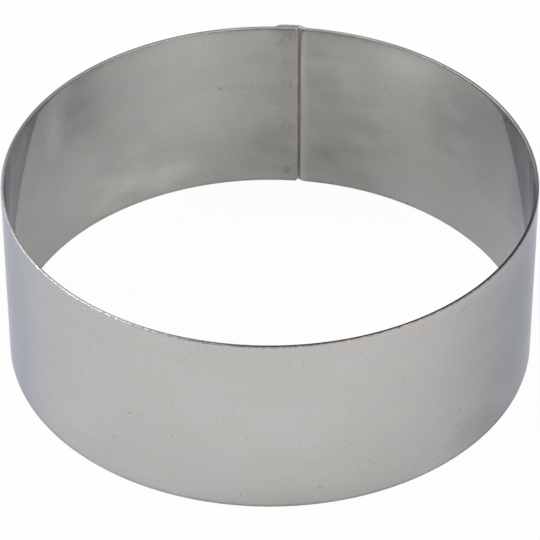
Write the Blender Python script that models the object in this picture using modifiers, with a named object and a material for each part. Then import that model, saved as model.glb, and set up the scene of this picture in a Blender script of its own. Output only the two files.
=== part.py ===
"""Pastry ring: one strip of sheet steel rolled into a hoop, its ends lapped and spot-welded.

The hoop stands on z = 0 with its axis on Z. The inner end of the strip is cut off square at +Y.
Seen from the middle of the hoop, the lap lies to the left of that cut and the joggle to its right:
there the strip steps outwards by its own thickness, and passes behind the inner end.
"""
import math

import bmesh
import bpy
from mathutils import Matrix, Vector

# Driving dimensions, in metres
OUTER_DIAMETER = 0.120  # the hoop's outside, away from the lap
HEIGHT = 0.045
SHEET = 0.0008
RIM_RADIUS = 0.00015  # the deburred edges of the strip
LAP_LENGTH = 0.0053  # how far the outer end runs on behind the inner end
LAP_CLEARANCE = 0.0001  # between the two layers of the lap
JOGGLE_ANGLE = math.radians(40.0)  # how steeply the strip steps outwards at most
JOGGLE_BEND = 0.0002  # inside radius of the tight bend beside the cut
GROOVE_WIDTH = 0.00015  # between the joggle and the cut of the inner end
END_CORNER = 0.0007  # radius of the strip's four corners, seen on its flat side
END_BEVEL = 0.0012  # how far from the outer end the sheet starts to thin
END_THICKNESS = 0.00035  # what that bevel leaves of the sheet
WELD_COUNT = 7
WELD_DIAMETER = 0.0020
WELD_DENT = 0.00005  # how deep the electrodes press the weld's faces in
WELD_DISH = 0.0001  # how much deeper the middle of each dent lies than its rim
WELD_MARGIN = 0.0033  # from a rim to the centre of the nearest weld
WELD_CLEARANCE = 0.0003  # between a weld and the hole that it fills

# How finely curved shapes are cut into flats
ARC_STEP = math.radians(3.0)
BEND_STEPS = 5
CORNER_STEPS = 3
WELD_STEPS = 24
RIM_SEGMENTS = 2
RIM_ANGLE = math.radians(60.0)  # edges sharper than this are rim edges
SMOOTH_ANGLE = math.radians(35.0)
MERGE_DISTANCE = 0.00001
CUTTER_OVERRUN = 0.001  # how far a cutter stands out of each side of the lap

# Sizes that follow from the driving ones
MID_RADIUS = OUTER_DIAMETER / 2 - SHEET / 2
LAP_STEP = SHEET + LAP_CLEARANCE
LAP_THICKNESS = 2 * SHEET + LAP_CLEARANCE
TIGHT_RADIUS = JOGGLE_BEND + SHEET / 2
EASE_RADIUS = LAP_STEP / (1 - math.cos(JOGGLE_ANGLE)) - TIGHT_RADIUS
JOGGLE_LENGTH = (EASE_RADIUS + TIGHT_RADIUS) * math.sin(JOGGLE_ANGLE)
CUT_ANGLE = math.radians(90.0)  # where the inner end is cut off
JOGGLE_END = CUT_ANGLE + math.tau - GROOVE_WIDTH / MID_RADIUS
JOGGLE_START = JOGGLE_END - JOGGLE_LENGTH / MID_RADIUS
LAP_END = CUT_ANGLE + math.tau + LAP_LENGTH / MID_RADIUS
WELD_ANGLE = CUT_ANGLE + LAP_LENGTH / 2 / MID_RADIUS
WELD_CENTRE_RADIUS = OUTER_DIAMETER / 2 - SHEET + LAP_THICKNESS / 2
WELD_PITCH = (HEIGHT - 2 * WELD_MARGIN) / (WELD_COUNT - 1)

STEEL = {"colour": (0.60, 0.60, 0.59), "roughness": 0.34, "metallic": 1.0}
WELD_STEEL = {"colour": (0.44, 0.44, 0.45), "roughness": 0.45, "metallic": 1.0}


def clear_scene():
    for obj in list(bpy.data.objects):
        bpy.data.objects.remove(obj, do_unlink=True)


def new_collection(name):
    collection = bpy.data.collections.new(name)
    bpy.context.scene.collection.children.link(collection)
    return collection


def metal(name, look):
    material = bpy.data.materials.new(name)
    material.use_nodes = True
    shader = material.node_tree.nodes["Principled BSDF"]
    shader.inputs["Base Color"].default_value = (*look["colour"], 1.0)
    shader.inputs["Roughness"].default_value = look["roughness"]
    shader.inputs["Metallic"].default_value = look["metallic"]
    return material


def polar(radius, angle):
    return Vector((radius * math.cos(angle), radius * math.sin(angle), 0.0))


def arc(radius, start, end):
    """Points on a circle round the hoop's axis, both ends included."""
    steps = math.ceil((end - start) / ARC_STEP)
    return [polar(radius, start + (end - start) * i / steps) for i in range(steps + 1)]


def joggle():
    """The inner points of the step outwards: a long easy bend, and a tight one back along the hoop."""
    turns = [JOGGLE_ANGLE * i / BEND_STEPS for i in range(1, BEND_STEPS + 1)]
    easy = [(EASE_RADIUS * math.sin(t), EASE_RADIUS * (1 - math.cos(t))) for t in turns]
    tight = [(JOGGLE_LENGTH - TIGHT_RADIUS * math.sin(t), LAP_STEP - TIGHT_RADIUS * (1 - math.cos(t)))
             for t in reversed(turns[:-1])]
    return [polar(MID_RADIUS + rise, JOGGLE_START + run / MID_RADIUS) for run, rise in easy + tight]


def strip_path():
    """The middle of the strip seen from above, from its inner end round to its outer end."""
    hoop = arc(MID_RADIUS, CUT_ANGLE, JOGGLE_START)
    lap = arc(MID_RADIUS + LAP_STEP, JOGGLE_END, LAP_END)
    return hoop + joggle() + lap


def standing_sheet(path):
    """An open surface that rises from the path to the height of the hoop."""
    sheet = bmesh.new()
    points = [sheet.verts.new(point) for point in path]
    edges = [sheet.edges.new(pair) for pair in zip(points, points[1:])]
    raised = bmesh.ops.extrude_edge_only(sheet, edges=edges)["geom"]
    top = [item for item in raised if isinstance(item, bmesh.types.BMVert)]
    bmesh.ops.translate(sheet, verts=top, vec=(0.0, 0.0, HEIGHT))
    corners = [point for point in sheet.verts if len(point.link_edges) == 2]
    bmesh.ops.bevel(
        sheet,
        geom=corners,
        offset=END_CORNER,
        segments=CORNER_STEPS,
        profile=0.5,
        affect="VERTICES",
    )
    bmesh.ops.recalc_face_normals(sheet, faces=sheet.faces)
    mesh = bpy.data.meshes.new("band")
    sheet.to_mesh(mesh)
    sheet.free()
    return mesh


def smooth(mesh):
    mesh.shade_smooth()
    mesh.set_sharp_from_angle(angle=SMOOTH_ANGLE)


def make_band(collection, cutters, material):
    mesh = standing_sheet(strip_path())
    mesh.materials.append(material)
    smooth(mesh)
    band = bpy.data.objects.new("band", mesh)
    collection.objects.link(band)
    wall = band.modifiers.new("sheet thickness", "SOLIDIFY")
    wall.thickness = SHEET
    wall.offset = 0.0
    wall.use_even_offset = True
    rim = band.modifiers.new("deburred edges", "BEVEL")
    rim.width = RIM_RADIUS
    rim.segments = RIM_SEGMENTS
    rim.limit_method = "ANGLE"
    rim.angle_limit = RIM_ANGLE
    holes = band.modifiers.new("weld holes and end bevel", "BOOLEAN")
    holes.operation = "DIFFERENCE"
    holes.operand_type = "COLLECTION"
    holes.collection = cutters
    return band


def weld_mesh(material):
    """A weld as a short button whose axis is Z, with a dished dent in each face."""
    radius = WELD_DIAMETER / 2
    top = LAP_THICKNESS / 2 - WELD_DENT
    profile = [(0.0, top - WELD_DISH), (radius / 2, top - WELD_DISH / 2), (radius, top)]
    profile += [(x, -z) for x, z in reversed(profile)]
    outline = bmesh.new()
    points = [outline.verts.new((x, 0.0, z)) for x, z in profile]
    for pair in zip(points, points[1:]):
        outline.edges.new(pair)
    mesh = bpy.data.meshes.new("spot_weld")
    outline.to_mesh(mesh)
    outline.free()
    mesh.materials.append(material)
    return mesh


def weld_place(index):
    """Turns the weld's own Z outwards along the hoop's radius, at its height in the column."""
    height = WELD_MARGIN + index * WELD_PITCH
    place = Matrix.Translation(polar(WELD_CENTRE_RADIUS, WELD_ANGLE) + Vector((0.0, 0.0, height)))
    outwards = polar(1.0, WELD_ANGLE).to_track_quat("Z", "Y").to_matrix().to_4x4()
    return place @ outwards


def make_weld(collection, mesh, index):
    weld = bpy.data.objects.new(f"spot_weld_{index + 1}", mesh)
    collection.objects.link(weld)
    turned = weld.modifiers.new("turned", "SCREW")
    turned.axis = "Z"
    turned.steps = WELD_STEPS
    turned.render_steps = WELD_STEPS
    turned.use_merge_vertices = True
    turned.merge_threshold = MERGE_DISTANCE
    weld.matrix_world = weld_place(index)
    return weld


def keep_as_cutter(cutter, cutters, name, place):
    cutter.name = name
    for collection in list(cutter.users_collection):
        collection.objects.unlink(cutter)
    cutters.objects.link(cutter)
    cutter.matrix_world = place
    cutter.hide_render = True
    cutter.display_type = "WIRE"


def make_weld_cutter(cutters, index):
    bpy.ops.mesh.primitive_cylinder_add(
        vertices=WELD_STEPS,
        radius=WELD_DIAMETER / 2 + WELD_CLEARANCE,
        depth=LAP_THICKNESS + 2 * CUTTER_OVERRUN,
    )
    keep_as_cutter(bpy.context.object, cutters, f"weld_hole_{index + 1}", weld_place(index))


def make_end_cutter(cutters):
    """A block whose inner face slopes into the sheet, to bevel the outer end on its outside."""
    bpy.ops.mesh.primitive_cube_add(size=1.0)
    outside = OUTER_DIAMETER / 2 + LAP_STEP
    angle = LAP_END - END_BEVEL / MID_RADIUS
    slope = math.atan((SHEET - END_THICKNESS) / END_BEVEL)
    depth = 2 * CUTTER_OVERRUN
    start = Matrix.Translation(polar(outside, angle) + Vector((0.0, 0.0, HEIGHT / 2)))
    turned = Matrix.Rotation(angle + slope, 4, "Z") @ Matrix.Translation((depth / 2, 0.0, 0.0))
    size = Matrix.Diagonal((depth, 4 * END_BEVEL, HEIGHT + 2 * CUTTER_OVERRUN, 1.0))
    keep_as_cutter(bpy.context.object, cutters, "end_bevel", start @ turned @ size)


def main():
    clear_scene()
    parts = new_collection("pastry ring")
    cutters = new_collection("cutters")
    steel = metal("stainless steel", STEEL)
    weld_steel = metal("weld steel", WELD_STEEL)
    nugget = weld_mesh(weld_steel)
    for index in range(WELD_COUNT):
        make_weld_cutter(cutters, index)
        make_weld(parts, nugget, index)
    make_end_cutter(cutters)
    make_band(parts, cutters, steel)


main()
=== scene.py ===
import math

import bmesh
import bpy
import numpy as np
from mathutils import Matrix, Vector


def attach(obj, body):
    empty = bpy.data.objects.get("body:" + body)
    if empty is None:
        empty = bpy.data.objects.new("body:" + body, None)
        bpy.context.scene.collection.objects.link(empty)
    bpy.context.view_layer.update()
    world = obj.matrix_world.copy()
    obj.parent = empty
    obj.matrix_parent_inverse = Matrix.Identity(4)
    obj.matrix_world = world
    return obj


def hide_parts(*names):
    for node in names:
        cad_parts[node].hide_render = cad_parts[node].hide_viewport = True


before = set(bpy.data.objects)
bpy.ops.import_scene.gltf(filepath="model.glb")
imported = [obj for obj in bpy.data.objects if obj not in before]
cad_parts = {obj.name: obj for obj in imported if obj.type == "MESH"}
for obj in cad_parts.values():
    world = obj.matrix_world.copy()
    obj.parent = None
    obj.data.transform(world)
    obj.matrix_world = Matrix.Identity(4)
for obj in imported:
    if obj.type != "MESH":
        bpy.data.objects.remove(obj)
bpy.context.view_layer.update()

# Sizes of the hoop in metres, the same as in the solids
OUTER_DIAMETER = 0.120  # the hoop's outside, away from the lap
HEIGHT = 0.045
SHEET = 0.0008
LAP_LENGTH = 0.0053  # how far the outer end runs on behind the inner end
LAP_CLEARANCE = 0.0001  # between the two layers of the lap
JOGGLE_ANGLE = math.radians(40.0)  # how steeply the strip steps outwards at most
JOGGLE_BEND = 0.0002  # inside radius of the tight bend beside the cut
END_CORNER = 0.0007  # radius of the strip's four corners, seen on its flat side
WELD_COUNT = 7
WELD_MARGIN = 0.0033  # from a rim to the centre of the nearest weld

# Sizes that differ from the solids: a narrower groove, a thinner end and rounder edges
GROOVE_WIDTH = 0.00006  # between the joggle and the cut of the inner end
END_BEVEL = 0.0015  # how far from the outer end the sheet starts to thin
END_THICKNESS = 0.0002  # what that bevel leaves of the sheet
EDGE_RADIUS = 0.0003  # the sheared edges are worn round
LEAST_EDGE_RADIUS = EDGE_RADIUS / 6  # what is left of it right at the strip's two ends

# Sizes that follow from these
MID_RADIUS = OUTER_DIAMETER / 2 - SHEET / 2
LAP_STEP = SHEET + LAP_CLEARANCE
LAP_THICKNESS = 2 * SHEET + LAP_CLEARANCE
TIGHT_RADIUS = JOGGLE_BEND + SHEET / 2
EASE_RADIUS = LAP_STEP / (1 - math.cos(JOGGLE_ANGLE)) - TIGHT_RADIUS
JOGGLE_LENGTH = (EASE_RADIUS + TIGHT_RADIUS) * math.sin(JOGGLE_ANGLE)
WELD_PITCH = (HEIGHT - 2 * WELD_MARGIN) / (WELD_COUNT - 1)
WELD_HEIGHTS = [WELD_MARGIN + i * WELD_PITCH for i in range(WELD_COUNT)]

# Distances along the middle of the strip, from its inner end at +Y round to its outer end
ROUND = math.tau * MID_RADIUS
JOGGLE_END = ROUND - GROOVE_WIDTH
JOGGLE_START = JOGGLE_END - JOGGLE_LENGTH
STRIP_LENGTH = ROUND + LAP_LENGTH
INNER_WELDS = LAP_LENGTH / 2
OUTER_WELDS = ROUND + LAP_LENGTH / 2

# Weld marks, as the electrodes leave them
MARK_RADIUS = 0.0011
MARK_DEPTH = 0.000006
MARK_FULLNESS = 0.8  # below 1, the mark's sides are steeper than a cosine and its bottom is flatter
LIP_RADIUS = 0.00135
LIP_HEIGHT = 0.000001
LIP_SHARPNESS = 2
NUGGET_SHARE = 0.86  # how much of a mark's radius its fused middle fills
NUGGET_RISE = 0.000004  # how far that middle stands out of the dented sheet
NUGGET_STEPS = 40
NUGGET_RINGS = 10

# The inner side is rolled over outwards at its rims and its cut end
ROLL_REACH = 0.0015
ROLL_DEPTH = 0.00004  # at the seam and in front
ROLL_LEAST = 0.2  # share of that depth at the hoop's left and right
LOW_RIM_SHARPNESS = 4  # how many times shorter the roll is at the lower rim

# Nicks in the upper rim: distance along the strip, depth, half length
NICKS = [(0.0099, 0.00006, 0.0003), (0.1483, 0.00005, 0.0004), (0.1530, 0.00009, 0.0004),
         (0.1690, 0.00008, 0.0003), (0.1864, 0.00008, 0.0004), (0.2023, 0.00004, 0.0003),
         (0.2107, 0.00006, 0.0004), (0.2175, 0.00012, 0.0005)]
NICK_MEAN = 0.6  # share of its depth that a nick has on average at the rim's two edges
NICK_LEAN = 0.4  # what it has more than that at the outer edge, and less at the inner one

# How finely curved shapes are cut into flats
STATION_STEP = 0.0015
ROW_STEP = 0.0015
FINE_STEP = 0.00025
FINE_REACH = 0.0016
LEAST_STEP = FINE_STEP / 4
CORNER_STEPS = 4
TANGENT_STEP = 0.00001
SMOOTH_ANGLE = math.radians(40.0)

# Kinds of face on the band, which are also its material slots
OUTER_FACE, INNER_FACE, RIM_FACE, END_FACE = range(4)


def rise(along):
    """How far the middle of the strip lies outside the hoop's own circle."""
    run = min(max(along - JOGGLE_START, 0.0), JOGGLE_LENGTH)
    if run < EASE_RADIUS * math.sin(JOGGLE_ANGLE):
        return EASE_RADIUS - math.sqrt(EASE_RADIUS**2 - run**2)
    return LAP_STEP - TIGHT_RADIUS + math.sqrt(TIGHT_RADIUS**2 - (JOGGLE_LENGTH - run) ** 2)


def plan_point(along):
    angle = math.pi / 2 + along / MID_RADIUS
    return np.array([math.cos(angle), math.sin(angle)]) * (MID_RADIUS + rise(along))


def plan(along):
    """Place and outward normal of the middle of the strip, seen from above."""
    tangent = plan_point(along + TANGENT_STEP) - plan_point(along - TANGENT_STEP)
    tangent /= np.linalg.norm(tangent)
    return plan_point(along), np.array([tangent[1], -tangent[0]])


def spread(start, end, step, fine):
    """Values from start to end, closer together in each (centre, reach, step) of fine."""
    values = list(np.linspace(start, end, math.ceil((end - start) / step) + 1))
    for centre, reach, close in fine:
        count = round(reach / close)
        near = [centre + close * i for i in range(-count, count + 1)]
        values = [v for v in values if abs(v - centre) > reach + close / 2 or v in (start, end)]
        values += [v for v in near if start + close / 4 < v < end - close / 4]
    values.sort()
    kept = [values[0]]
    for value in values[1:]:
        if value - kept[-1] > LEAST_STEP:
            kept.append(value)
    kept[-1] = end
    return kept


def clipped(along):
    """How much the strip's round corners take off its width on each side."""
    run = END_CORNER - min(along, STRIP_LENGTH - along)
    return END_CORNER - math.sqrt(END_CORNER**2 - run**2) if run > 0 else 0.0


def section(rows, inset, thinned, clip):
    """One closed loop round the strip's cross-section, as (across, height, kind) with across outwards.

    A point's kind is that of the face which follows it."""
    outer, inner = SHEET / 2 - inset - thinned, inset - SHEET / 2
    radius = max(EDGE_RADIUS - inset, LEAST_EDGE_RADIUS)
    low, high = inset + clip, HEIGHT - inset - clip
    heights = [min(max(z, low + radius), high - radius) for z in rows]

    def corner(across, height, first):
        turns = [first + math.pi / 2 * i / CORNER_STEPS for i in range(CORNER_STEPS + 1)]
        return [(across + radius * math.cos(t), height + radius * math.sin(t), RIM_FACE) for t in turns]

    loop = [(outer, z, OUTER_FACE) for z in heights[:-1]]
    loop += corner(outer - radius, high - radius, 0.0)
    loop += [((outer + inner) / 2, high, RIM_FACE)]
    loop += corner(inner + radius, high - radius, math.pi / 2)[:-1]
    loop += [(inner, z, INNER_FACE) for z in reversed(heights[1:])]
    loop += corner(inner + radius, low + radius, math.pi)
    loop += [((outer + inner) / 2, low, RIM_FACE)]
    loop += corner(outer - radius, low + radius, 1.5 * math.pi)[:-1]
    return loop


def mark(distance):
    """Depth of a weld mark below the sheet's face, at a distance from its middle."""
    if distance < MARK_RADIUS:
        return MARK_DEPTH * math.cos(distance / MARK_RADIUS * math.pi / 2) ** MARK_FULLNESS
    lip = (distance - LIP_RADIUS) / (LIP_RADIUS - MARK_RADIUS)
    return -LIP_HEIGHT * math.exp(-lip * lip * LIP_SHARPNESS)


def rolled(along, across, height):
    """The inner side, with its rims and its cut end rolled over outwards."""
    edge = max(1 - min(LOW_RIM_SHARPNESS * height, HEIGHT - height, along) / ROLL_REACH, 0.0)
    side = max(-across / (SHEET / 2), 0.0)
    depth = ROLL_DEPTH * (ROLL_LEAST + (1 - ROLL_LEAST) * abs(math.cos(along / MID_RADIUS)))
    return across + depth * edge**2 * side


def thinning(along):
    """How much of the sheet's outside the bevel of the outer end takes away."""
    return max(along - STRIP_LENGTH + END_BEVEL, 0.0) / END_BEVEL * (SHEET - END_THICKNESS)


def dented(along, across, height):
    """A face's distance from the middle of the strip, with the weld marks pressed in."""
    side = INNER_WELDS if across < 0 else OUTER_WELDS
    if abs(along - side) > FINE_REACH:
        return across
    nearest = min(WELD_HEIGHTS, key=lambda z: abs(z - height))
    depth = mark(math.hypot(along - side, height - nearest))
    return across - math.copysign(depth, across)


def nicked(along, across, height):
    """A rim point's height, with the nicks knocked into the upper rim."""
    for centre, depth, reach in NICKS:
        off = abs(along - centre) / reach
        if off < 1 and height > HEIGHT - EDGE_RADIUS:
            height -= depth * (1 - off * off) ** 2 * (NICK_MEAN + NICK_LEAN * math.copysign(1, across))
    return height


def band_stations():
    """Where the strip is cut across: distances along it, each with how far its round edge stands back."""
    fine = [(INNER_WELDS, LAP_LENGTH / 2, FINE_STEP), (OUTER_WELDS, LAP_LENGTH / 2, FINE_STEP)]
    fine += [((JOGGLE_START + JOGGLE_END) / 2, JOGGLE_LENGTH / 2 + FINE_STEP, FINE_STEP / 2)]
    fine += [(centre, reach, reach / 4) for centre, _, reach in NICKS]
    stations = [(s, 0.0) for s in spread(EDGE_RADIUS, STRIP_LENGTH - EDGE_RADIUS, STATION_STEP, fine)]
    for i in range(1, CORNER_STEPS + 1):
        turn = math.pi / 2 * i / CORNER_STEPS
        run, inset = EDGE_RADIUS * (1 - math.sin(turn)), EDGE_RADIUS * (1 - math.cos(turn))
        stations.insert(0, (run, inset))
        stations.append((STRIP_LENGTH - run, inset))
    return stations


def band_rows():
    fine = [(z, FINE_REACH, FINE_STEP) for z in WELD_HEIGHTS]
    return spread(EDGE_RADIUS, HEIGHT - EDGE_RADIUS, ROW_STEP, fine)


def cap_faces(start, rows, around):
    """Closes one end of the strip: a quad between each pair of rows, and one face at each rim."""
    across = around // 2 + rows - 1
    faces = []
    for j in range(rows - 1):
        faces.append((start + j, start + j + 1, start + across - j - 1, start + across - j))
    faces.append([start + j for j in range(rows - 1, around // 2 + 1)])
    faces.append([start + j % around for j in range(across, around + 1)])
    return faces


def band_faces(stations, kinds, rows):
    """The faces between the stations and over both ends, and each one's material slot."""
    around = len(kinds)
    faces, slots = [], []
    for i in range(len(stations) - 1):
        end = stations[i][1] > 0 or stations[i + 1][1] > 0
        for j in range(around):
            k = (j + 1) % around
            faces.append((i * around + j, i * around + k, (i + 1) * around + k, (i + 1) * around + j))
            slots.append(END_FACE if end and kinds[j] != RIM_FACE else kinds[j])
    for start in (0, (len(stations) - 1) * around):
        cap = cap_faces(start, rows, around)
        faces += cap
        slots += [END_FACE] * len(cap)
    return faces, slots


def keep_flat_places(mesh, places):
    """Keeps each point's place on the flat strip: along, height, across."""
    layer = mesh.attributes.new("unrolled", "FLOAT_VECTOR", "POINT")
    layer.data.foreach_set("vector", np.asarray(places, np.float32).ravel())


def lay_strip_map(mesh, places):
    """A map of the flat strip, which tells the steel which way it was rolled."""
    layer = mesh.uv_layers.new(name="strip")
    for face in mesh.polygons:
        for corner in face.loop_indices:
            along, height, across = places[mesh.loops[corner].vertex_index]
            layer.data[corner].uv = (along / STRIP_LENGTH, (height + across) / STRIP_LENGTH)


def tidy(mesh):
    shape = bmesh.new()
    shape.from_mesh(mesh)
    bmesh.ops.recalc_face_normals(shape, faces=shape.faces)
    shape.to_mesh(mesh)
    shape.free()
    mesh.shade_smooth()
    mesh.set_sharp_from_angle(angle=SMOOTH_ANGLE)


def band_mesh(materials):
    stations, rows = band_stations(), band_rows()
    places, flat = [], []
    for along, inset in stations:
        centre, outwards = plan(along)
        loop = section(rows, inset, thinning(along), clipped(along))
        for across, height, _ in loop:
            out = dented(along, rolled(along, across, height), height)
            places.append((*(centre + outwards * out), nicked(along, across, height)))
            flat.append((along, height, across))
    kinds = [kind for _, _, kind in loop]
    faces, slots = band_faces(stations, kinds, len(rows))
    mesh = bpy.data.meshes.new("band")
    mesh.from_pydata(places, [], faces)
    for material in materials:
        mesh.materials.append(material)
    mesh.polygons.foreach_set("material_index", slots)
    keep_flat_places(mesh, flat)
    tidy(mesh)
    lay_strip_map(mesh, flat)
    return mesh


class Graph:
    """Shader nodes of a material or world, made one call at a time. A value is a socket or a constant."""

    def __init__(self, owner):
        owner.use_nodes = True
        self.owner = owner
        self.tree = owner.node_tree

    def put(self, value, socket):
        if isinstance(value, bpy.types.NodeSocket):
            self.tree.links.new(value, socket)
        else:
            socket.default_value = value

    def fill(self, node, inputs):
        for key, value in inputs.items():
            self.put(value, node.inputs[key])

    def node(self, kind, inputs, **settings):
        made = self.tree.nodes.new(kind)
        for name, value in settings.items():
            setattr(made, name, value)
        self.fill(made, inputs)
        return made

    def surface(self, inputs):
        """Sets the sockets of the material's own shader, and gives the material."""
        self.fill(self.tree.nodes["Principled BSDF"], inputs)
        return self.owner

    def math(self, operation, first, second=0.0, third=0.0):
        return self.node("ShaderNodeMath", {0: first, 1: second, 2: third}, operation=operation).outputs[0]

    def vector(self, operation, inputs):
        return self.node("ShaderNodeVectorMath", inputs, operation=operation).outputs

    def add(self, base, pattern, amount):
        return self.math("MULTIPLY_ADD", pattern, amount, base)

    def vary(self, base, pattern, amount):
        """Adds a pattern of 0 to 1 in such a way that its middle level changes nothing."""
        return self.add(base, self.math("SUBTRACT", pattern, 0.5), amount)

    def step(self, value, low, high, start=0.0, end=1.0):
        """Goes smoothly from start to end as the value goes from low to high."""
        inputs = {"Value": value, "From Min": low, "From Max": high, "To Min": start, "To Max": end}
        return self.node("ShaderNodeMapRange", inputs, interpolation_type="SMOOTHSTEP").outputs[0]

    def mix(self, share, first, second):
        return self.node("ShaderNodeMix", {0: share, 6: first, 7: second}, data_type="RGBA").outputs[2]

    def toned(self, colour, tone):
        """A colour made lighter or darker by a factor."""
        return self.vector("SCALE", {0: colour, "Scale": tone})["Vector"]

    def unrolled(self):
        return self.node("ShaderNodeAttribute", {}, attribute_name="unrolled").outputs["Vector"]

    def parts(self, vector):
        return self.node("ShaderNodeSeparateXYZ", {0: vector}).outputs

    def scaled(self, vector, scale, turn=0.0, shift=(0.0, 0.0, 0.0)):
        inputs = {"Vector": vector, "Location": shift, "Rotation": (0.0, 0.0, turn), "Scale": scale}
        return self.node("ShaderNodeMapping", inputs).outputs[0]

    def noise(self, vector, scale, detail, roughness):
        inputs = {"Vector": vector, "Scale": scale, "Detail": detail, "Roughness": roughness}
        return self.node("ShaderNodeTexNoise", inputs).outputs["Fac"]

    def pattern(self, place, density, detail, roughness=0.5, turn=0.0, shift=(0.0, 0.0, 0.0)):
        """Noise of so many features per metre along the strip, up it and across it."""
        return self.noise(self.scaled(place, density, turn, shift), 1.0, detail, roughness)

    def cells(self, place, density, shift):
        """Random cells: the distance from each one's middle, and a colour of its own."""
        inputs = {"Vector": self.scaled(place, density, shift=shift), "Scale": 1.0}
        return self.node("ShaderNodeTexVoronoi", inputs).outputs

    def off(self, along, height, centre, reach):
        """Distance from a place on the flat strip, in units of the reach in each direction."""
        flat = self.node("ShaderNodeCombineXYZ", {0: along, 1: height}).outputs[0]
        moved = self.vector("SUBTRACT", {0: flat, 1: (*centre, 0.0)})["Vector"]
        shrunk = self.vector("MULTIPLY", {0: moved, 1: (1 / reach[0], 1 / reach[1], 0.0)})["Vector"]
        return self.vector("LENGTH", {0: shrunk})["Value"]

    def shaded_patch(self, along, height, clouds, centre, reach, strength):
        """A factor near 1 that lightens or darkens a soft patch with a cloudy edge: painted light and
        shade.
        """
        ragged = self.vary(self.off(along, height, centre, reach), clouds, PATCH_RAGGEDNESS)
        return self.step(ragged, 0.0, 1.0, 1.0 + strength, 1.0)

    def scratch(self, along, height, centre, slope, half_length, half_width):
        """1 on a straight hairline, 0 off it."""
        run = self.math("SUBTRACT", along, centre[0])
        drop = self.math("SUBTRACT", height, centre[1])
        across = self.math("ABSOLUTE", self.add(drop, run, -slope))
        inside = self.step(self.math("ABSOLUTE", run), half_length * 0.5, half_length, 1.0, 0.0)
        return self.math("MULTIPLY", inside, self.step(across, half_width * 0.3, half_width, 1.0, 0.0))

    def bump(self, height, distance, normal=None):
        inputs = {"Height": height, "Distance": distance, "Strength": 1.0}
        if normal is not None:
            inputs["Normal"] = normal
        return self.node("ShaderNodeBump", inputs).outputs[0]

    def white_share(self, direct, mirrored):
        """How much of the plain white surroundings shows to the camera, and in metal and glass."""
        path = self.node("ShaderNodeLightPath", {}).outputs
        share = self.math("MULTIPLY", path["Is Camera Ray"], direct)
        share = self.add(share, path["Is Glossy Ray"], mirrored)
        return self.add(share, path["Is Transmission Ray"], mirrored)


# The two faces of the sheet. Streaks, clouds, pebbles and dots are how strongly each changes the tone
OUTSIDE = {
    "seed": 1.0,
    "colour": (0.543, 0.537, 0.537),
    "edge_tint": (0.76, 0.79, 0.87),  # where the steel is seen nearly along its face
    "dust": 0.0,
    "roughness": 0.12,
    "streaks": 0.05,
    "clouds": 0.07,
    "pebbles": 0.19,
    "dots": 0.21,
}
INSIDE = {
    "seed": 4.0,
    # Darker than the outside's colour: painted shade on the inner wall
    "colour": (0.502, 0.501, 0.496),
    "edge_tint": (0.84, 0.85, 0.90),
    "dust": 0.10,
    "roughness": 0.065,
    "streaks": 0.06,
    "clouds": 0.09,
    "pebbles": 0.22,
    "dots": 0.14,
}
WARM_CAST = (1.018, 1.0, 0.968)
COOL_CAST = (1.0, 1.0, 1.012)
ROLLING_SHINE = 0.8  # how far the shine is drawn out by the rolling
ROLLING_TURN = 0.25  # and in which direction, as a share of a turn
SPECK_DARKNESS = 0.22
HAIR_DARKNESS = 0.03
WELD_DARKNESS = 0.20
WELD_MIDDLE = (0.415, 0.412, 0.402, 1.0)
WELD_EDGE = (0.388, 0.385, 0.374, 1.0)

# How fine each pattern is: features per metre along the strip, up it and across it
GRAIN = (90.0, 5200.0, 1.0)
ROLLING = (16.0, 520.0, 1.0)
CLOUDS = (70.0, 140.0, 1.0)
MOTTLE = (420.0, 600.0, 1.0)
PEBBLES = (1500.0, 2300.0, 1.0)
SPECKS = (310.0, 310.0, 310.0)
DOTS = (900.0, 1300.0, 1300.0)
SWARMS = (110.0, 150.0, 1.0)
HAIRS = (60.0, 1500.0, 1.0)
HAIR_AREAS = (120.0, 120.0, 1.0)
NIBBLES = (300.0, 3000.0, 3000.0)
WAVES = (60.0, 300.0, 300.0)
FLECKS = (1500.0, 4000.0, 4000.0)
CRATERS = 3500.0
SPECK_LEVEL = 0.72  # only cells whose random value is above this have a speck
HAIR_SETS = ((0.35, 0.0), (-0.9, 3.1))  # direction in radians, and a shift that sets them apart
PATCH_RAGGEDNESS = 1.2

# Height of the relief that each pattern makes
GRAIN_RELIEF = 0.000001
ROLLING_RELIEF = 0.0000015
SPECK_RELIEF = 0.000002
NIBBLE_RELIEF = 0.0000008
CRATER_RELIEF = 0.000002
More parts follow.
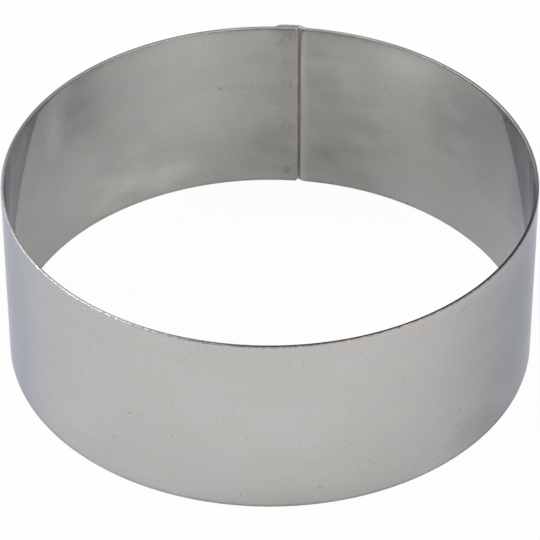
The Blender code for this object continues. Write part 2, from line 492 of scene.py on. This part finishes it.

# Soft patches of painted light and shade, which even out the levels of the reflections; those beside the
# seam also stand for handling smudges, the narrow lighter strips from 0.373 to 0.375 along are a painted
# highlight on the joggle, and the last patch of each list is painted shade along the foot: (along,
# height), (reach along, reach up), how much lighter
INNER_PAINTED_SHADING = [((0.031, 0.018), (0.022, 0.030), 0.16), ((0.028, 0.004), (0.020, 0.010), 0.06),
                ((0.040, 0.006), (0.018, 0.013), 0.18), ((0.026, 0.043), (0.016, 0.012), 0.13),
                ((0.022, 0.001), (0.020, 0.012), 0.08), ((0.366, 0.000), (0.016, 0.007), 0.21),
                ((0.007, 0.000), (0.013, 0.006), 0.19), ((0.056, 0.014), (0.018, 0.020), 0.15),
                ((0.057, 0.036), (0.012, 0.014), -0.26), ((0.046, 0.034), (0.006, 0.008), -0.05),
                ((0.086, 0.024), (0.013, 0.014), -0.12), ((0.0187, 0.0283), (0.0011, 0.0007), -0.25),
                ((0.002, 0.023), (0.017, 0.032), -0.21), ((0.0025, 0.0430), (0.008, 0.006), -0.27),
                ((0.0040, 0.0412), (0.0009, 0.0012), -0.18), ((0.012, 0.0452), (0.016, 0.0024), -0.14),
                ((0.045, 0.0452), (0.022, 0.0028), -0.18), ((0.067, 0.036), (0.0055, 0.013), 0.20),
                ((0.051, 0.025), (0.007, 0.008), -0.06), ((0.346, 0.043), (0.016, 0.014), 0.28),
                ((0.366, 0.020), (0.019, 0.032), -0.20), ((0.346, 0.002), (0.020, 0.014), 0.16),
                ((0.3700, 0.036), (0.010, 0.014), -0.10), ((0.041, 0.011), (0.011, 0.008), 0.11),
                ((0.353, 0.021), (0.012, 0.012), -0.06), ((0.3675, 0.0095), (0.004, 0.003), -0.10),
                ((0.335, 0.032), (0.012, 0.014), -0.14), ((0.301, 0.026), (0.012, 0.016), -0.24),
                ((0.3733, 0.022), (0.0016, 0.080), 0.24), ((0.3743, 0.000), (0.0007, 0.090), 0.75),
                ((0.322, 0.031), (0.018, 0.026), -0.10), ((0.009, 0.034), (0.008, 0.012), 0.06),
                ((0.361, 0.032), (0.007, 0.014), 0.07), ((0.358, 0.002), (0.008, 0.006), -0.08),
                ((0.3734, 0.037), (0.0016, 0.013), 0.08), ((0.1890, 0.000), (0.900, 0.0011), -0.20)]
OUTER_PAINTED_SHADING = [((0.136, 0.012), (0.022, 0.045), 0.10), ((0.231, 0.015), (0.020, 0.035), 0.08),
                ((0.153, 0.016), (0.013, 0.018), 0.04), ((0.188, 0.008), (0.026, 0.016), -0.05),
                ((0.192, 0.000), (0.055, 0.008), -0.03), ((0.248, 0.003), (0.015, 0.014), -0.12),
                ((0.262, 0.014), (0.026, 0.045), -0.10), ((0.1890, 0.000), (0.900, 0.0011), -0.30)]

# Hairlines: (along, height), slope, half length, half width, how dark
INNER_SCRATCHES = [((0.0150, 0.0281), 0.01, 0.0040, 0.0009, 0.06)]
OUTER_SCRATCHES = [((0.2397, 0.0418), 0.1, 0.0024, 0.0003, 0.16),
                   ((0.2050, 0.0050), 0.0, 0.0009, 0.0006, 0.12)]

# How dark each weld's ring is burnt, from the lowest up, and its distances from the weld's middle
WELD_BURNS = [1.0, 0.3, 0.9, 0.25, 1.0, 0.4, 1.0]
RING_START, RING_FULL, RING_END = 0.0004, 0.0009, 0.0016


def steel_specks(g, place, shift):
    """1 on small dark specks, 0 off them."""
    cells = g.cells(place, SPECKS, shift)
    pick = g.parts(cells["Color"])[0]
    inside = g.math("LESS_THAN", cells["Distance"], g.step(pick, 0.0, 1.0, 0.02, 0.075))
    return g.math("MULTIPLY", inside, g.math("GREATER_THAN", pick, SPECK_LEVEL))


def steel_dots(g, place, seed, shift):
    """Faint dots, finer than the specks, that gather in swarms."""
    cells = g.cells(place, DOTS, shift)
    size = g.step(g.parts(cells["Color"])[0], 0.3, 1.0, 0.0, 0.25)
    swarm = g.pattern(place, SWARMS, 2.0, shift=(5.0, seed, 0.0))
    inside = g.math("LESS_THAN", cells["Distance"], size)
    return g.math("MULTIPLY", inside, g.step(swarm, 0.42, 0.62, 0.1, 1.0))


def steel_hairs(g, place, seed):
    """Fine handling lines in two directions, each in a few areas only."""
    hairs = 0.0
    for turn, offset in HAIR_SETS:
        line = g.pattern(place, HAIRS, 0.0, turn=turn, shift=(offset, seed, 0.0))
        near = g.math("ABSOLUTE", g.math("SUBTRACT", line, 0.5))
        where = g.pattern(place, HAIR_AREAS, 1.0, shift=(offset, 2 * seed, 0.0))
        drawn = g.math("MULTIPLY", g.step(near, 0.0, 0.006, 1.0, 0.0), g.step(where, 0.58, 0.68))
        hairs = g.math("ADD", hairs, drawn)
    return hairs


def weld_rings(g, along, height, middle):
    """How dark each weld mark's ring is: strongest at its two sides, and 0 away from the marks."""
    aside = g.math("ABSOLUTE", g.math("SUBTRACT", along, middle))
    rings = 0.0
    for burn, level in zip(WELD_BURNS, WELD_HEIGHTS):
        far = g.off(along, height, (middle, level), (1.0, 1.0))
        inner = g.step(far, RING_START, RING_FULL)
        outer = g.step(far, RING_FULL, RING_END, burn, 0.0)
        side = g.step(g.math("DIVIDE", aside, far), 0.3, 0.95)
        rings = g.add(rings, g.math("MULTIPLY", inner, outer), side)
    return rings


def steel_colour(g, along, clouds, dots, colour):
    """Warm steel, cooler in clouds and warm again in the dots; cooler also towards the hoop's left and
    right, a painted reflection of bluish surroundings.
    """
    # Painted reflection: cooler where the wall turns away towards the hoop's left and right
    facing = g.math("ABSOLUTE", g.math("COSINE", g.math("DIVIDE", along, MID_RADIUS)))
    cool_clouds_and_side_reflection = g.add(g.step(facing, 0.35, 0.95, 0.65, 0.0), g.step(clouds, 0.35, 0.65), 0.35)
    cool_clouds_and_side_reflection = g.math("SUBTRACT", cool_clouds_and_side_reflection, dots)
    warm, cool = [(*(c * k for c, k in zip(colour, cast)), 1.0) for cast in (WARM_CAST, COOL_CAST)]
    return g.mix(cool_clouds_and_side_reflection, warm, cool)


def steel_face(name, look, shading_patches, scratches, welds):
    """Satin cold-rolled sheet: rolling grain along the strip, clouds, specks and hairline scratches."""
    g = Graph(bpy.data.materials.new(name))
    place = g.unrolled()
    along, height, _ = g.parts(place)
    seed = look["seed"]
    shift = (seed * 1.7, seed * 0.9, 0.0)

    grain = g.pattern(place, GRAIN, 3.0, 0.6, shift=shift)
    rolling = g.pattern(place, ROLLING, 3.0, 0.55, shift=shift)
    clouds = g.pattern(place, CLOUDS, 3.0, 0.5, shift=shift)
    mottle = g.pattern(place, MOTTLE, 2.0, 0.6, shift=shift)
    pebbles = g.pattern(place, PEBBLES, 1.0, 0.5, shift=shift)
    specks = steel_specks(g, place, shift)
    dots = steel_dots(g, place, seed, shift)
    hairs = steel_hairs(g, place, seed)

    tone = g.vary(1.0, rolling, look["streaks"])
    tone = g.vary(tone, clouds, look["clouds"])
    tone = g.vary(tone, mottle, look["clouds"] / 3)
    tone = g.vary(tone, pebbles, look["pebbles"])
    tone = g.add(tone, specks, -SPECK_DARKNESS)
    tone = g.add(tone, dots, -look["dots"])
    tone = g.add(tone, hairs, -HAIR_DARKNESS)
    # Painted light and shade: soft lighter and darker patches over the face
    for patch in shading_patches:
        tone = g.math("MULTIPLY", tone, g.shaded_patch(along, height, clouds, *patch))
    for *line, darkness in scratches:
        tone = g.add(tone, g.scratch(along, height, *line), -darkness)
    burnt = g.math("MULTIPLY", weld_rings(g, along, height, welds), g.step(mottle, 0.35, 0.6))
    tone = g.add(tone, burnt, -WELD_DARKNESS)

    rough = g.vary(look["roughness"], clouds, 0.04)
    rough = g.vary(rough, rolling, 0.03)
    rough = g.add(rough, specks, 0.2)

    fine = g.bump(grain, GRAIN_RELIEF)
    fine = g.bump(rolling, ROLLING_RELIEF, fine)
    fine = g.bump(g.add(g.math("MULTIPLY", specks, -1.0), hairs, -0.2), SPECK_RELIEF, fine)

    return g.surface({
        "Base Color": g.toned(steel_colour(g, along, clouds, dots, look["colour"]), tone),
        "Roughness": rough,
        "Normal": fine,
        "Metallic": 1.0,
        "Anisotropic": ROLLING_SHINE,
        "Anisotropic Rotation": ROLLING_TURN,
        "Specular Tint": (*look["edge_tint"], 1.0),
        "Sheen Weight": look["dust"],
        "Tangent": g.node("ShaderNodeTangent", {}, direction_type="UV_MAP", uv_map="strip").outputs[0],
    })


# The rim's zones of painted reflection: distances along the strip from where each begins to where it is
# full, and its painted colours at the inner corner, on the flat and at the outer corner, bright on the
# left and front left, dark blue-grey in front and front right
RIM_REFLECTION_ZONES = [(0.000, 0.000, (0.54, 0.49, 0.46), (0.60, 0.57, 0.55), (0.50, 0.54, 0.66)),
             (0.014, 0.026, (0.45, 0.40, 0.37), (0.39, 0.37, 0.355), (0.37, 0.40, 0.49)),
             (0.050, 0.065, (0.46, 0.40, 0.37), (0.46, 0.44, 0.43), (0.37, 0.40, 0.48)),
             (0.085, 0.105, (0.50, 0.38, 0.34), (0.76, 0.72, 0.70), (0.45, 0.47, 0.54)),
             (0.155, 0.196, (0.07, 0.12, 0.24), (0.07, 0.08, 0.10), (0.38, 0.30, 0.255)),
             (0.268, 0.295, (0.46, 0.40, 0.37), (0.44, 0.42, 0.41), (0.30, 0.33, 0.40)),
             (0.315, 0.325, (0.42, 0.37, 0.34), (0.35, 0.335, 0.325), (0.37, 0.40, 0.49)),
             (0.348, 0.358, (0.54, 0.49, 0.46), (0.57, 0.54, 0.52), (0.50, 0.54, 0.66))]

# Where the inner corner's painted reflection ends and the outer corner's begins, across the sheet
INNER_BORDER = (-0.00024, -0.00004)
OUTER_BORDER = (0.00016, 0.00034)
BACK_SHIFT = 0.00013  # how much further inwards both borders lie in the hoop's back half

# The cut end's painted light and shade: its colours at the lower rim, at the upper rim, where the painted
# highlight is brightest, and at its inner corner, which is painted shade
CUT_LOW = (0.68, 0.64, 0.61, 1.0)
CUT_HIGH = (0.74, 0.685, 0.655, 1.0)
CUT_CORNER_SHADE = (0.42, 0.385, 0.36, 1.0)


def rim_painted_light(g, along, height, across, backness):
    """The rims' painted reflections all round, and the cut end's painted highlight and shade."""
    bands = [(*tint, 1.0) for tint in RIM_REFLECTION_ZONES[0][2:]]
    for first, last, *tints in RIM_REFLECTION_ZONES[1:]:
        share = g.step(along, first, last)
        bands = [g.mix(share, band, (*tint, 1.0)) for band, tint in zip(bands, tints)]
    inside, flat, outside = bands
    shifted = g.add(across, g.step(backness, -0.2, 0.2), BACK_SHIFT)
    colour = g.mix(g.step(shifted, *INNER_BORDER, 1.0, 0.0), flat, inside)
    colour = g.mix(g.step(shifted, *OUTER_BORDER), colour, outside)
    cut = g.mix(g.step(height, 0.0, 0.040), CUT_LOW, CUT_HIGH)
    # Painted shade at the cut's inner corner
    cut = g.mix(g.step(across, -0.00040, -0.00015, 0.55, 0.0), cut, CUT_CORNER_SHADE)
    return g.mix(g.step(along, 0.0002, 0.0008, 1.0, 0.0), colour, cut)


def rim_steel():
    """Sheared edge, finely nibbled, with painted reflections: dull at the back, and with painted glints in
    front.
    """
    g = Graph(bpy.data.materials.new("cut_rim_steel"))
    place = g.unrolled()
    along, height, across = g.parts(place)
    backness = g.math("COSINE", g.math("DIVIDE", along, MID_RADIUS))
    nibbles = g.pattern(place, NIBBLES, 3.0, 0.6)
    waves = g.pattern(place, WAVES, 2.0, 0.5)
    flecks = g.pattern(place, FLECKS, 1.0, 0.5)
    # Painted glints: light and dark flecks, strongest in front
    painted_glint = g.math("SUBTRACT", g.step(flecks, 0.55, 0.70, 0.0, 0.9), g.step(flecks, 0.32, 0.45, 0.35, 0.0))
    tone = g.vary(g.vary(1.0, nibbles, 0.16), waves, 0.2)
    tone = g.add(tone, painted_glint, g.step(backness, -0.9, 0.2, 1.0, 0.25))
    return g.surface({
        "Base Color": g.toned(rim_painted_light(g, along, height, across, backness), tone),
        "Roughness": g.add(0.46, nibbles, 0.1),
        "Normal": g.bump(nibbles, NIBBLE_RELIEF),
        "Metallic": 1.0,
    })


def weld_steel():
    """Fused steel, a little darker towards the mark's edge."""
    g = Graph(bpy.data.materials.new("weld_steel"))
    place = g.unrolled()
    away = g.vector("LENGTH", {0: g.scaled(place, (1.0, 1.0, 0.0))})["Value"]
    crater = g.noise(place, CRATERS, 3.0, 0.6)
    edge = g.step(away, 0.0003, 0.0009)
    return g.surface({
        "Base Color": g.mix(edge, WELD_MIDDLE, WELD_EDGE),
        "Roughness": g.add(0.08, crater, 0.2),
        "Normal": g.bump(crater, CRATER_RELIEF),
        "Metallic": 1.0,
    })


def nugget_face(distance):
    """Height of the nugget's end above its middle plane, at a distance from its axis."""
    return LAP_THICKNESS / 2 - mark(distance) + NUGGET_RISE


def turned(profile, steps):
    """Points and faces of a closed profile of (radius, height) turned round Z, from axis to axis."""
    turns = [math.tau * i / steps for i in range(steps)]
    (_, top), *rings, (_, bottom) = profile
    points = [(0.0, 0.0, top)]
    points += [(radius * math.cos(t), radius * math.sin(t), z) for radius, z in rings for t in turns]
    points += [(0.0, 0.0, bottom)]
    last_ring = 1 + (len(rings) - 1) * steps
    faces = []
    for i in range(steps):
        j = (i + 1) % steps
        faces.append((0, 1 + i, 1 + j))
        for ring in range(1, last_ring, steps):
            faces.append((ring + i, ring + steps + i, ring + steps + j, ring + j))
        faces.append((last_ring + i, len(points) - 1, last_ring + j))
    return points, faces


def weld_mesh(material):
    """A fused nugget through both layers of the lap, whose faces lie in the marks."""
    distances = [MARK_RADIUS * NUGGET_SHARE * i / NUGGET_RINGS for i in range(NUGGET_RINGS + 1)]
    profile = [(x, nugget_face(x)) for x in distances]
    profile += [(x, -z) for x, z in reversed(profile)]
    points, faces = turned(profile, NUGGET_STEPS)
    mesh = bpy.data.meshes.new("spot_weld")
    mesh.from_pydata(points, [], faces)
    mesh.materials.append(material)
    tidy(mesh)
    keep_flat_places(mesh, points)
    return mesh


def weld_place(height):
    """Turns the nugget's own Z outwards along the hoop's radius, at its height in the column."""
    angle = math.pi / 2 + INNER_WELDS / MID_RADIUS
    outwards = Vector((math.cos(angle), math.sin(angle), 0.0))
    radius = OUTER_DIAMETER / 2 - SHEET + LAP_THICKNESS / 2
    turn = outwards.to_track_quat("Z", "Y").to_matrix().to_4x4()
    return Matrix.Translation(outwards * radius + Vector((0.0, 0.0, height))) @ turn


def add_piece(name, mesh, node):
    piece = bpy.data.objects.new(name, mesh)
    bpy.context.scene.collection.objects.link(piece)
    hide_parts(node)
    return piece


def build_ring():
    outer = steel_face("satin_steel_outside", OUTSIDE, OUTER_PAINTED_SHADING, OUTER_SCRATCHES, OUTER_WELDS)
    inner = steel_face("satin_steel_inside", INSIDE, INNER_PAINTED_SHADING, INNER_SCRATCHES, INNER_WELDS)
    rim = rim_steel()
    band = add_piece("steel_band", band_mesh([outer, inner, rim, rim]), "band")
    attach(band, "root")
    nugget = weld_mesh(weld_steel())
    for index, height in enumerate(WELD_HEIGHTS, 1):
        weld = add_piece(f"weld_mark_{index}", nugget, f"spot_weld_{index}")
        weld.matrix_world = weld_place(height)
        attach(weld, "root")


# The studio, and how much of its plain white shows to the camera, and in metal and glass
WHITE = (1.0, 1.0, 1.0, 1.0)
FLOOR_PAINT = (0.88, 0.88, 0.88, 1.0)
SURROUNDINGS = (0.88, 0.94, 1.0, 1.0)
FRONT_STRENGTH, BACK_STRENGTH = 0.15, 0.30  # of the surroundings, in front of the hoop and behind it
FLOOR_WHITE, FLOOR_WHITE_MIRRORED = 0.96, 0.15
WORLD_WHITE, WORLD_WHITE_MIRRORED = 1.0, 0.05
FLOOR_REACH = 4.0
FLOOR_DROP = 0.00005  # how far the floor lies under the hoop, so that their faces don't meet
LAMP_DISTANCE = 1.2
WARM_LIGHT = (1.0, 0.97, 0.90)
NEUTRAL_LIGHT = (1.0, 1.0, 1.0)


def floor_paint():
    """Matt white, most of which glows to the camera as plain white."""
    g = Graph(bpy.data.materials.new("white_floor"))
    g.surface({"Base Color": FLOOR_PAINT, "Roughness": 0.9, "Specular IOR Level": 0.0})
    lit = g.tree.nodes["Principled BSDF"].outputs[0]
    glow = g.node("ShaderNodeEmission", {"Color": WHITE, "Strength": 1.0}).outputs[0]
    share = g.white_share(FLOOR_WHITE, FLOOR_WHITE_MIRRORED)
    mixed = g.node("ShaderNodeMixShader", {0: share, 1: lit, 2: glow}).outputs[0]
    g.put(mixed, g.tree.nodes["Material Output"].inputs["Surface"])
    return g.owner


def build_floor():
    mesh = bpy.data.meshes.new("floor")
    corners = [(x * FLOOR_REACH, y * FLOOR_REACH, 0.0) for x, y in ((-1, -1), (1, -1), (1, 1), (-1, 1))]
    mesh.from_pydata(corners, [], [(0, 1, 2, 3)])
    mesh.materials.append(floor_paint())
    floor = bpy.data.objects.new("floor", mesh)
    floor.location.z = -FLOOR_DROP
    bpy.context.scene.collection.objects.link(floor)


def build_world():
    """Dim bluish surroundings, paler behind the hoop, that the camera itself sees as white."""
    world = bpy.data.worlds.new("studio")
    bpy.context.scene.world = world
    g = Graph(world)
    backwards = g.parts(g.node("ShaderNodeTexCoord", {}).outputs["Generated"])["Y"]
    dim = g.tree.nodes["Background"]
    strength = g.step(backwards, 0.0, 0.7, FRONT_STRENGTH, BACK_STRENGTH)
    g.fill(dim, {"Color": SURROUNDINGS, "Strength": strength})
    white = g.node("ShaderNodeBackground", {"Color": WHITE})
    share = g.white_share(WORLD_WHITE, WORLD_WHITE_MIRRORED)
    mixed = g.node("ShaderNodeMixShader", {0: share, 1: dim.outputs[0], 2: white.outputs[0]})
    g.put(mixed.outputs[0], g.tree.nodes["World Output"].inputs["Surface"])


def softbox(name, share, azimuth, elevation, size, colour=NEUTRAL_LIGHT):
    """A square lamp that gives a white floor under the hoop the given share of its full level."""
    turn, climb = math.radians(azimuth), math.radians(elevation)
    away = Vector((math.cos(climb) * math.sin(turn), -math.cos(climb) * math.cos(turn), math.sin(climb)))
    light = bpy.data.lights.new(name, "AREA")
    light.size = size
    light.energy = share * (math.pi * LAMP_DISTANCE) ** 2 / math.sin(climb)
    light.color = colour
    source = bpy.data.objects.new(name, light)
    source.location = away * LAMP_DISTANCE
    source.rotation_euler = away.to_track_quat("Z", "Y").to_euler()
    bpy.context.scene.collection.objects.link(source)


def build_lights():
    softbox("softbox_left", share=0.38, azimuth=270, elevation=40, size=0.8)
    softbox("softbox_right", share=0.23, azimuth=90, elevation=48, size=1.0, colour=WARM_LIGHT)
    softbox("softbox_above", share=0.12, azimuth=0, elevation=90, size=1.4)
    softbox("strip_front_right", share=0.14, azimuth=45, elevation=22, size=0.6)
    softbox("strip_front_left", share=0.05, azimuth=315, elevation=22, size=0.6)


# The camera that fits the photograph's outlines
CAMERA_DISTANCE = 13.05  # in outer radii of the hoop
CAMERA_ELEVATION = math.radians(39.157)
CAMERA_AZIMUTH = math.radians(6.5)
CAMERA_TILT = math.radians(-1.065)  # below 0, it points above the middle of the lower rim
CAMERA_ROLL = math.radians(-0.096)
SENSOR_WIDTH = 36.0  # in millimetres
FOCAL_PIXELS = 3383.9
FRAME_PIXELS = 540


def build_camera():
    data = bpy.data.cameras.new("camera")
    data.sensor_width = SENSOR_WIDTH
    data.lens = FOCAL_PIXELS / FRAME_PIXELS * SENSOR_WIDTH
    camera = bpy.data.objects.new("camera", data)
    bpy.context.scene.collection.objects.link(camera)
    bpy.context.scene.camera = camera
    dip = CAMERA_ELEVATION + CAMERA_TILT
    back = Vector((math.sin(CAMERA_AZIMUTH), -math.cos(CAMERA_AZIMUTH), 0.0))
    away = back * math.cos(CAMERA_ELEVATION) + Vector((0, 0, math.sin(CAMERA_ELEVATION)))
    place = away * CAMERA_DISTANCE * OUTER_DIAMETER / 2
    forward = -back * math.cos(dip) - Vector((0, 0, math.sin(dip)))
    right = forward.cross(Vector((0, 0, 1))).normalized()
    up = right.cross(forward)
    across = right * math.cos(CAMERA_ROLL) + up * math.sin(CAMERA_ROLL)
    upright = up * math.cos(CAMERA_ROLL) - right * math.sin(CAMERA_ROLL)
    turn = Matrix((across, upright, -forward)).transposed().to_4x4()
    camera.matrix_world = Matrix.Translation(place) @ turn


build_camera()
build_ring()
build_floor()
build_world()
build_lights()
bpy.context.scene.view_settings.view_transform = "Standard"
